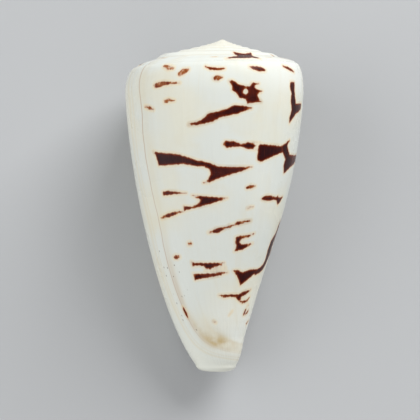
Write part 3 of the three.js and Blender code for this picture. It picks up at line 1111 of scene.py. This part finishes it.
class ShaderSheet:
    def __init__(self, material):
        self.tree = material.node_tree
        self.coordinates = self.tree.nodes.new("ShaderNodeTexCoord").outputs["Object"]
        names = ("age", "level", "skin", "mark", "seam")
        self.read = {name: self.attribute(name) for name in names}
        split = self.tree.nodes.new("ShaderNodeSeparateXYZ")
        self.tree.links.new(self.coordinates, split.inputs[0])
        self.read["across"] = Term(self.tree, split.outputs[0]) * mmInMetre
        self.patterns = {}

    def attribute(self, name):
        node = self.tree.nodes.new("ShaderNodeAttribute")
        node.attribute_name = name
        return Term(self.tree, node.outputs["Fac"])

    def vector(self, x, y):
        node = self.tree.nodes.new("ShaderNodeCombineXYZ")
        fill(self.tree, node.inputs, (x, y))
        return node.outputs[0]

    # Runs from 0 to 1, mostly near a half
    def noise(self, place, scale=1.0, detail=3.0, roughness=0.5):
        node = self.tree.nodes.new("ShaderNodeTexNoise")
        node.inputs["Scale"].default_value = scale
        node.inputs["Detail"].default_value = detail
        node.inputs["Roughness"].default_value = roughness
        self.tree.links.new(place, node.inputs["Vector"])
        return Term(self.tree, node.outputs[0])

    def pattern(self, name):
        if name not in self.patterns:
            look = dict(skinPatterns[name])
            place = self.coordinates
            if "a turn" in look:
                turned = self.read["age"] * look.pop("a turn")
                place = self.vector(turned, self.read["level"] * look.pop("a level"))
            self.patterns[name] = self.noise(place, **look)
        return self.patterns[name]

    # 1 where a pattern is above a value, coming in the more sharply the higher the gain
    def above(self, name, value, gain):
        return smoothed((self.pattern(name) - value) * gain)

    def zone(self, name):
        share = 1.0
        for reading, (centre, reach) in skinZones[name].items():
            share = share * near(self.read[reading], centre, reach)
        return share

    def cells(self, place):
        node = self.tree.nodes.new("ShaderNodeTexVoronoi")
        node.inputs["Scale"].default_value = 1.0
        self.tree.links.new(place, node.inputs["Vector"])
        chance = self.tree.nodes.new("ShaderNodeSeparateColor")
        self.tree.links.new(node.outputs["Color"], chance.inputs[0])
        return Term(self.tree, node.outputs["Distance"]), Term(self.tree, chance.outputs[0])

    def blend(self, share, base, top):
        node = self.tree.nodes.new("ShaderNodeMix")
        node.data_type = "RGBA"
        fill(self.tree, [node.inputs["Factor"]], [share])
        for value, socket in ((base, node.inputs[6]), (top, node.inputs[7])):
            if isinstance(value, str):
                socket.default_value = (*porcelain[value], 1)
            else:
                self.tree.links.new(value, socket)
        return node.outputs[2]

    def ramp(self, value, stops):
        node = self.tree.nodes.new("ShaderNodeValToRGB")
        self.tree.links.new(value.socket, node.inputs[0])
        elements = node.color_ramp.elements
        while len(elements) < len(stops):
            elements.new(1.0)
        for element, (place, name) in zip(elements, stops):
            element.position = place
            element.color = (*porcelain[name], 1)
        return node.outputs[0]


def bodyColour(sheet):
    colour = "cool white"
    for name, value, gain, strength, top, *within in bodyLayers:
        share = sheet.above(name, value, gain) * strength
        for limits in within:
            share = share * sheet.above(*limits)
        colour = sheet.blend(share, colour, top)
    age, level = sheet.read["age"], sheet.read["level"]
    youngLip = 1.0 - smoothed((age - lipLook["young until"]) / lipLook["young fade"])
    colour = sheet.blend(youngLip * lipLook["young strength"], colour, "lip white")
    place = sheet.vector(level * lipLook["wobble rate"], lipLook["wobble place"])
    wobble = (sheet.noise(place, detail=2.0) - 0.5) * lipLook["wobble"]
    for turnsAgo, reach, strength, top, *within in lipTraces:
        share = near(age + wobble, turnsAgo, reach) * strength
        for limits in within:
            share = share * sheet.above(*limits)
        colour = sheet.blend(share, colour, top)
    return colour


# The worn stain at the front lies along the old lip, with fine pale ridges below it
def frontStain(sheet, colour):
    amount = clamped(sheet.zone("trail") * frontLook["trail strength"] + sheet.zone("heart"))
    amount = amount * sheet.above(*frontLook["stain keeps to"])
    colour = sheet.blend(sheet.zone("glow") * frontLook["glow strength"], colour, "cream")
    colour = sheet.blend(amount * frontLook["stain strength"], colour, "stain")
    colour = sheet.blend(sheet.zone("blush") * frontLook["blush strength"], colour, "old lip tan")
    waves = smoothed(calc("SINE", sheet.read["age"] * frontLook["ridge rate"]) * 2.0 - 1.0)
    ridges = waves * sheet.zone("ridges") * frontLook["ridge strength"]
    return sheet.blend(ridges, colour, "bright white")


def specks(sheet, colour):
    place = sheet.vector(sheet.read["age"] * frontLook["specks a turn"], sheet.read["level"])
    distance, chance = sheet.cells(place)
    inside = 1.0 - smoothed((distance - frontLook["speck size"]) / frontLook["speck softness"])
    allowed = sheet.zone("specks") - chance * frontLook["speck thinning"]
    dots = inside * smoothed(allowed * frontLook["speck sharpness"])
    return sheet.blend(dots * frontLook["speck strength"], colour, "speck")


def markColour(sheet, colour):
    mark = sheet.read["mark"]
    depth = mark + (sheet.pattern("ragged") - 0.5) * markLook["raggedness"]
    shade = sheet.ramp((depth - markLook["first depth"]) / markLook["depth span"], markLook["shades"])
    redLines = sheet.above(*markLook["red lines"]) * markLook["line strength"]
    shade = sheet.blend(redLines, shade, "red brown")
    redPatches = sheet.above(*markLook["red patches"]) * markLook["patch strength"]
    shade = sheet.blend(redPatches, shade, "red brown")
    halo = smoothed((mark + markLook["halo reach"]) / markLook["halo fade"]) * markLook["halo strength"]
    core = smoothed((depth + markLook["edge reach"]) / markLook["edge fade"])
    return sheet.blend(calc("MAXIMUM", halo, core), colour, shade)


def shellMaterial():
    material = bpy.data.materials.new("shellPorcelain")
    material.use_nodes = True
    sheet = ShaderSheet(material)
    tree = material.node_tree
    surface = tree.nodes["Principled BSDF"]
    colour = specks(sheet, frontStain(sheet, bodyColour(sheet)))
    seam = 1.0 - smoothed(sheet.read["seam"] / porcelain["seam width"])
    colour = sheet.blend(seam * porcelain["seam strength"], colour, "seam tan")
    colour = markColour(sheet, colour)
    colour = sheet.blend(1.0 - smoothed(sheet.read["skin"]), colour, "inside white")
    tree.links.new(colour, surface.inputs["Base Color"])
    bump = tree.nodes.new("ShaderNodeBump")
    bump.inputs["Strength"].default_value = porcelain["bump strength"]
    bump.inputs["Distance"].default_value = porcelain["bump distance"]
    tree.links.new(sheet.pattern("grain").socket, bump.inputs["Height"])
    tree.links.new(bump.outputs[0], surface.inputs["Normal"])
    spread = porcelain["roughness spread"]
    roughness = sheet.pattern("gloss") * spread + (porcelain["roughness"] - spread / 2)
    tree.links.new(roughness.socket, surface.inputs["Roughness"])
    surface.inputs["Specular IOR Level"].default_value = porcelain["specular"]
    surface.inputs["Coat Weight"].default_value = porcelain["coat"]
    surface.inputs["Coat Roughness"].default_value = porcelain["coat roughness"]
    print("porcelain mixed:", len(tree.nodes), "nodes")
    return material


# Lays the shell down: tilted, lowered onto its worn flats and centred as the frame's box is
def layDown(points):
    low, high = np.array(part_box("shell"))
    turned = points / mmInMetre
    turned[:, 1] = (points[:, 1] * math.cos(restTilt) - points[:, 2] * math.sin(restTilt)) / mmInMetre
    turned[:, 2] = (points[:, 1] * math.sin(restTilt) + points[:, 2] * math.cos(restTilt)) / mmInMetre
    middle = (turned.min(axis=0) + turned.max(axis=0)) / 2
    shift = (low + high) / 2 - middle
    shift[2] = -turned[:, 2].min() - restFlat / mmInMetre
    turned += shift
    turned[:, 2] = np.maximum(turned[:, 2], 0)
    return turned, shift


def makeShell():
    shell = plainMeshFromTree(shellTree(shellMaterial()), "coneShell")
    mesh = shell.data
    points = pointsOf(mesh)
    addSkinAttributes(mesh, points)
    laid, shift = layDown(points)
    mesh.vertices.foreach_set("co", laid.ravel())
    mesh.polygons.foreach_set("use_smooth", np.ones(len(mesh.polygons), bool))
    mesh.update()
    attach(shell, "root")
    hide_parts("shell")
    print("shell made:", len(mesh.vertices), "points,", len(mesh.polygons), "faces")
    return shift


# A place given in the shell's own millimetres, once it lies at rest
def laidPlace(across, level, height, shift):
    place = Vector((across, level, height)) / mmInMetre
    return Matrix.Rotation(restTilt, 3, "X") @ place + Vector(shift)


room = {
    "floor size": 3.0,
    "floor colour": (0.40, 0.41, 0.42),
    "floor roughness": 0.55,
    "world colour": (1.0, 1.0, 1.0),
    "world strength": 0.40,
    # name: place in metres, side in metres, watts
    "lights": {
        "spireSide": ((0.42, 0.6, 0.46), 0.6, 8.8),
        "leftFill": ((-1.3, -0.05, 0.55), 2.0, 20.0),
        "frontFill": ((0.25, -1.1, 0.6), 1.6, 6.5),
    },
    "frame width": 0.0759,  # metres that the camera takes in at the axis
    "camera roll": math.radians(0.86),
}


def makeFloor():
    half = room["floor size"] / 2
    mesh = bpy.data.meshes.new("floor")
    corners = [(-half, -half, 0), (half, -half, 0), (half, half, 0), (-half, half, 0)]
    mesh.from_pydata(corners, [], [(0, 1, 2, 3)])
    floor = bpy.data.objects.new("floor", mesh)
    bpy.context.scene.collection.objects.link(floor)
    material = bpy.data.materials.new("paleFloor")
    material.use_nodes = True
    surface = material.node_tree.nodes["Principled BSDF"]
    surface.inputs["Base Color"].default_value = (*room["floor colour"], 1)
    surface.inputs["Roughness"].default_value = room["floor roughness"]
    mesh.materials.append(material)
    floor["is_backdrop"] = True
    print("floor laid")


def makeLights(target):
    scene = bpy.context.scene
    world = bpy.data.worlds.new("studio")
    world.use_nodes = True
    background = world.node_tree.nodes["Background"]
    background.inputs["Color"].default_value = (*room["world colour"], 1)
    background.inputs["Strength"].default_value = room["world strength"]
    scene.world = world
    for name, (place, side, watts) in room["lights"].items():
        data = bpy.data.lights.new(name, "AREA")
        data.size = side
        data.energy = watts
        light = bpy.data.objects.new(name, data)
        light.location = place
        light.rotation_euler = (target - Vector(place)).to_track_quat("-Z", "Y").to_euler()
        scene.collection.objects.link(light)
    print("lights placed")


def makeCamera(shift):
    scene = bpy.context.scene
    target = laidPlace(eye["across"], eye["level"], 0, shift)
    place = laidPlace(eye["across"], eye["level"], eye["height"], shift)
    data = bpy.data.cameras.new("camera")
    data.lens = data.sensor_width * (place - target).length / room["frame width"]
    camera = bpy.data.objects.new("camera", data)
    back = (place - target).normalized()
    along = Matrix.Rotation(restTilt, 3, "X") @ Vector((0, 1, 0))
    up = Matrix.Rotation(room["camera roll"], 3, back) @ along
    turn = Matrix((up.cross(back), up, back)).transposed()
    camera.matrix_world = Matrix.Translation(place) @ turn.to_4x4()
    scene.collection.objects.link(camera)
    scene.camera = camera
    scene.view_settings.view_transform = "Standard"
    print("camera placed:", round(data.lens), "mm lens")
    return target


shellShift = makeShell()
makeFloor()
makeLights(makeCamera(shellShift))

boxes = {"cad": cadBox, "visual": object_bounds()}
